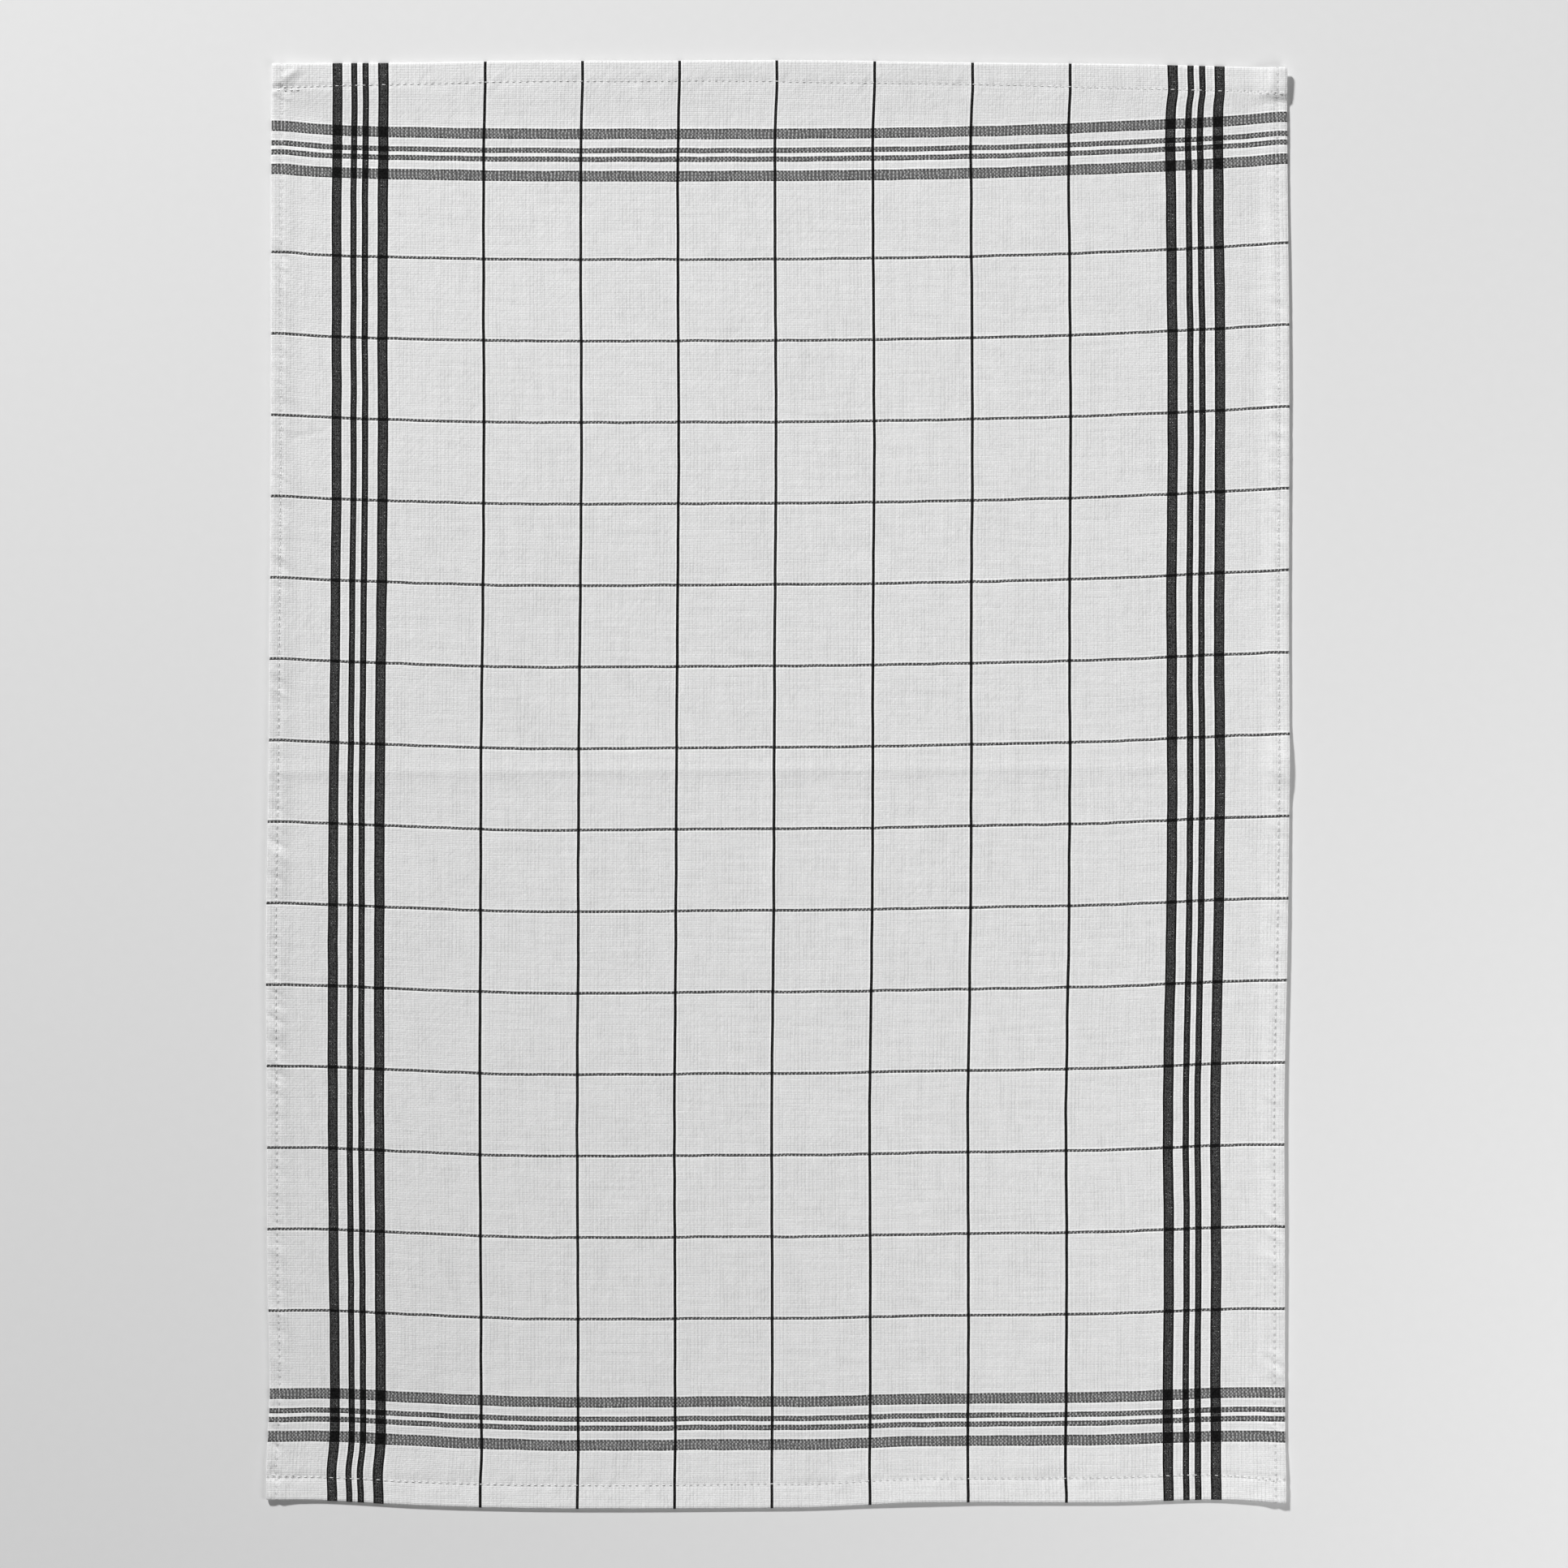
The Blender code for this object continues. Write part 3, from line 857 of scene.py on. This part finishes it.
# Plain weave: ends and picks cross over each other in turn, and ends stand in pairs with a gap between.
# Top of the warp = sin(pi * end) + crimp * turn * sin(pi * pick).
# Top of the weft = sin(pi * pick) - crimp * turn * sin(pi * end).
def weaveGroup():
    group, given = newGroup("plain_weave", end=0.0, pick=0.0, bias=0.0, ribs=0.0, crimp=0.8, gap=0.1)
    almostOne = 0.9999
    pairs = given.end * 0.5
    within = pairs.fraction()
    closed = (within - given.gap) / (1.0 - given.gap * 2.0)
    end = (pairs.floor() + closed.atLeast(0.0).atMost(almostOne)) * 2.0
    between = (abs(within - 0.5) - (0.5 - given.gap)).step(-0.04, 0.04)

    turn = 1.0 - (end.floor() + given.pick.floor()) % 2.0 * 2.0
    endRound = (end.fraction() * math.pi).sine()
    pickRound = (given.pick.fraction() * math.pi).sine()
    lift = given.crimp * turn
    warpTop = lift * pickRound + endRound - between * 3.0
    weftTop = pickRound - lift * endRound
    rib = given.ribs * (1.0 - end.floor() % 2.0 * 2.0)
    over = warpTop - weftTop + (given.bias + rib)
    onTop = over.step(-0.06, 0.06)
    return endGroup(group, warpOnTop=onTop, height=warpTop.atLeast(weftTop), between=between)


# One yarn's unevenness: each thread its own shade, with slubs that come and go along it.
def yarnGroup():
    group, given = newGroup("yarn", thread=0.0, run=0.0, seed=0.0)
    own = given.thread.floor() * 7.31 + given.seed
    shade = noise(placeAt(own, given.run * 0.035), 1.0)
    slub = noise(placeAt(own, given.run * 0.16), 1.0)
    return endGroup(group, shade=shade, slub=slub)


# Needle holes along a seam: dots at the stitch pitch, which the cloth darkens as painted shade.
def holeGroup():
    group, given = newGroup("needle_holes", off=0.0, run=0.0, pitch=3.3)
    along = ((given.run / given.pitch + 0.5).fraction() - 0.5) * given.pitch
    distance = maths("SQRT", along * along + given.off * given.off)
    return endGroup(group, hole=distance.step(weave["holeRim"], weave["holeCore"]))


stripes, plainWeave, yarn, needleHoles = stripeGroup(), weaveGroup(), yarnGroup(), holeGroup()


# How much paler the pale yarn is beside the stripes, with a painted highlight along the edges and painted
# light over the bottom hem.
def paleningAndPaintedLight(across, along, fromStripe):
    fromBottom = along + halfLength
    fromEdge = (halfWidth - abs(across)).atMost(halfLength - abs(along))
    fromFar = (halfWidth - across).atMost(fromBottom)
    width, core = weave["brighteningWidth"], weave["brighteningCore"]
    brightening = fromStripe.step(-width, -core) * weave["brightening"]
    # painted highlight along the edges, stronger along the right and bottom ones
    brightening = brightening.atLeast(fromEdge.step(width, core) * weave["edgePaintedHighlight"])
    brightening = brightening.atLeast(fromFar.step(width, core) * weave["farEdgePaintedHighlight"])
    # painted light over the bottom hem
    onHem = fromBottom.step(towel["endHem"] + 1.0, towel["endHem"] - 1.0)
    return brightening.atLeast(onHem * weave["bottomHemPaintedLight"])


# Where the needle holes of all four seams lie.
def holeShare(tree, across, along):
    bend = across.step(seams["bendFrom"], halfWidth) * seams["bottomBend"]
    bottomLine = across * seams["bottomSlant"] + (seams["bottom"] - halfLength)
    runs = (
        (abs(across) - (halfWidth - seams["side"]), along),
        (along - (halfLength - seams["top"]), across),
        (along - bottomLine + bend, across),
    )
    sides, top, bottom = (useGroup(tree, needleHoles, off=off, run=run, pitch=seams["pitch"]).hole
                          for off, run in runs)
    return sides.atLeast(top).atLeast(bottom)


# Cotton and linen, plain woven: yarn-dyed stripes, pairs of ends, uneven yarns, needle holes, a dull sheen.
def clothMaterial():
    material, tree, shader = newMaterial("striped_cotton_linen")
    place, across, along = mapPlace(tree, "cloth")

    # threads waver a little
    scale, reach = weave["waverAcross"]
    endPlace = across + (noise(place, scale) - 0.5) * reach
    scale, reach = weave["waverAlong"]
    elsewhere = addNode(tree, "VectorMath", {0: place, 1: (431.0, 97.0, 0.0)}, operation="ADD")[0]
    pickPlace = along + (noise(elsewhere, scale) - 0.5) * reach
    pick = (pickPlace - weftStripes["middle"]) / weave["pickPitch"]
    pickMiddle = (pick.floor() + 0.5) * weave["pickPitch"] + weftStripes["middle"]
    warpStripe = useGroup(tree, stripes, place=endPlace, linePlace=endPlace, **warpStripes)
    weftStripe = useGroup(tree, stripes, place=pickMiddle, linePlace=pickPlace, **weftStripes)
    darkEnd, darkPick = warpStripe.dark, weftStripe.dark

    # which thread covers the other
    end = endPlace / blend(darkEnd, weave["endPitch"], weave["darkEndPitch"])
    warpYarn = useGroup(tree, yarn, thread=end, run=along, seed=0.0)
    weftYarn = useGroup(tree, yarn, thread=pick, run=across, seed=911.3)
    atEdge = warpStripe.inside.step(0.9, 0.3)
    bias = darkEnd * (atEdge * weave["stripeEdge"] + weave["darkWarpBias"])
    bias = bias + darkPick * ((1.0 - darkEnd) * weave["darkWeftBias"])
    speckle = noise(place, weave["speckle"], 2.0) - 0.5
    bias = bias + (warpYarn.slub - weftYarn.slub) * weave["slubBias"] + speckle * weave["speckleBias"]
    # which end of a pair stands higher changes from place to place
    patchAcross, patchAlong = weave["ribPatch"]
    patch = noise(placeAt(across * patchAcross, along * patchAlong), 1.0)
    patch = ((patch - 0.5) * weave["ribContrast"]).atMost(1.0).atLeast(-1.0)
    ribs = patch * blend(darkPick, weave["ribs"], weave["darkRibs"]) * (1.0 - darkEnd)
    # pairs of ends stand closer or wider from place to place
    pairYarn = useGroup(tree, yarn, thread=end * 0.5, run=along, seed=377.7)
    gap = (pairYarn.slub - 0.5) * weave["gapChange"] + weave["gap"]
    gap = blend(darkEnd, gap.atLeast(weave["leastGap"]), 0.0)
    woven = useGroup(tree, plainWeave, end=end, pick=pick, bias=bias, ribs=ribs, gap=gap,
                     crimp=weave["crimp"])

    # the tone of the thread on top
    onTop = woven.warpOnTop
    dark = blend(onTop, darkPick, darkEnd)
    shade = blend(onTop, weftYarn.shade, warpYarn.shade)
    darkWarp = blend(warpStripe.inside.step(0.5, 1.3), weave["darkEdge"], weave["darkWarp"])
    darkWarp = blend(darkPick, darkWarp, weave["darkest"])
    darkWeft = blend(weftStripe.inside.step(0.5, 1.2), weave["weftEdge"], weave["darkWeft"])
    darkWeft = blend(darkEnd, darkWeft, weave["darkest"])
    paleTone = blend(darkEnd.atLeast(darkPick), weave["pale"], weave["paleAmongDark"])
    tone = blend(dark, paleTone, blend(onTop, darkWeft, darkWarp))

    # each yarn's own tone, painted shade in the dips between threads and in the gaps between pairs,
    # speckles, paler stretches with painted highlights at the edges and painted light on the bottom hem, and
    # painted shade in the needle holes
    # painted shade: darker in the dips between the threads
    brighter, dipShade = weave["dipShade"]
    total = ((shade - 0.5) * weave["yarnShade"] + 1.0) * (woven.height.step(0.1, 1.1) * brighter + dipShade)
    # painted shade in the open gaps between pairs of ends
    openGap = woven.between * pairYarn.shade.step(0.38, 0.62)
    total = total * (1.0 - openGap * weave["gapShade"])
    strength = blend(dark, weave["paleSpeckle"], blend(darkEnd, weave["weftSpeckle"], weave["warpSpeckle"]))
    total = total * (speckle * strength + 1.0).atLeast(weave["leastSpeckle"])
    # paler beside the stripes, with painted highlights at the edges and painted light on the bottom hem
    fromStripe = warpStripe.inside.atLeast(weftStripe.inside)
    total = total * (paleningAndPaintedLight(across, along, fromStripe) + 1.0)
    # painted shade in the needle holes
    total = total * (1.0 - holeShare(tree, across, along) * weave["holeShade"])
    feed(tone * total, shader.inputs["Base Color"])

    slant, offSlant = weave["crinkleScale"]
    crinkle = noise(placeAt((across + along) * slant, (across - along) * offSlant), 1.0, 2.0)
    relief = crinkle * weave["crinkle"] + woven.height
    addRelief(shader, relief, weave["reliefStrength"], weave["reliefHeight"])
    change, least = weave["roughness"]
    feed(shade * change + least, shader.inputs["Roughness"])
    shader.inputs["Specular IOR Level"].default_value = weave["specular"]
    shader.inputs["Sheen Weight"].default_value = weave["sheen"]
    shader.inputs["Sheen Roughness"].default_value = weave["sheenRoughness"]
    return material


# Polyester-cotton sewing thread: two plies that wind round each other, with painted shade in the grooves
# between them.
def threadMaterial():
    material, tree, shader = newMaterial("sewing_thread")
    around, run = mapPlace(tree, "thread")[1:]
    groove = ((run * 3.0 + around) * (4 * math.pi)).sine().step(-1.0, 0.2)
    # painted shade: darker in the grooves between the plies
    feed(blendGreys(groove, 0.72, 0.92), shader.inputs["Base Color"])
    addRelief(shader, groove, 0.6, 0.00008)
    feed(groove * -0.15 + 0.7, shader.inputs["Roughness"])
    shader.inputs["Sheen Weight"].default_value = 0.1
    return material


cloth.data.materials.append(clothMaterial())
stitching.data.materials.append(threadMaterial())
print("4. materials made")

# ---- what the frame is told

for piece in (cloth, stitching):
    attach(piece, "root")
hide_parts("tea_towel")

# ---- table, lights and camera

studio = {
    "tableSize": 4.0, "tableColour": 0.80, "grain": 0.015, "grainScale": 180.0,
    "worldStrength": 0.035,
    "camera": (3.03, 0.4, 2125.0), "lens": 100.0, "sensor": 36.0,  # camera place in millimetres
}

lamps = {
    # lamp: (turn counter-clockwise from +X and rise above the table in degrees, distance, size, power)
    "key_lamp": (119.5, 30.5, 4.6, 0.54, 268.0),
    "fill_lamp": (-31.0, 38.0, 1.3, 0.75, 6.2),
}


# A plain pale table top with a faint grain.
def makeTable():
    half = studio["tableSize"] / 2
    corners = [(-half, -half, 0.0), (half, -half, 0.0), (half, half, 0.0), (-half, half, 0.0)]
    table = meshFrom("table_top", corners, [(0, 1, 2, 3)])
    material, tree, shader = newMaterial("pale_table")
    place = Wire(tree, tree.nodes.new("ShaderNodeTexCoord").outputs["Object"])
    grain = noise(place, studio["grainScale"], 3.0, "3D")
    level, change = studio["tableColour"], studio["grain"]
    feed(blendGreys(grain, level * (1.0 - change), level * (1.0 + change)), shader.inputs["Base Color"])
    shader.inputs["Roughness"].default_value = 0.9
    shader.inputs["Specular IOR Level"].default_value = 0.1
    table.data.materials.append(material)


# A round lamp aimed at the towel.
def makeLamp(name, turn, rise, away, size, power):
    lamp = bpy.data.lights.new(name, "AREA")
    lamp.shape, lamp.size, lamp.energy = "DISK", size, power
    holder = bpy.data.objects.new(name, lamp)
    turn, rise = math.radians(turn), math.radians(rise)
    toLamp = Vector((math.cos(turn) * math.cos(rise), math.sin(turn) * math.cos(rise), math.sin(rise)))
    holder.location = toLamp * away
    holder.rotation_mode = "QUATERNION"
    holder.rotation_quaternion = toLamp.to_track_quat("Z", "Y")
    holder.visible_camera = False
    bpy.context.scene.collection.objects.link(holder)


# The camera hangs over the towel and looks straight down.
def makeCamera():
    camera = bpy.data.cameras.new("camera")
    camera.lens, camera.sensor_width = studio["lens"], studio["sensor"]
    camera.clip_start, camera.clip_end = 0.05, 20.0
    holder = bpy.data.objects.new("camera", camera)
    holder.location = Vector(studio["camera"]) * metres
    bpy.context.scene.collection.objects.link(holder)
    bpy.context.scene.camera = holder


# An even grey surround, and tones kept as they are.
def makeWorld():
    world = bpy.data.worlds.new("studio")
    world.use_nodes = True
    background = world.node_tree.nodes["Background"]
    background.inputs["Color"].default_value = (1.0, 1.0, 1.0, 1.0)
    background.inputs["Strength"].default_value = studio["worldStrength"]
    bpy.context.scene.world = world
    bpy.context.scene.view_settings.view_transform = "Standard"


makeTable()
for lampName, sizes in lamps.items():
    makeLamp(lampName, *sizes)
makeCamera()
makeWorld()
print("5. table, lamps and camera placed")
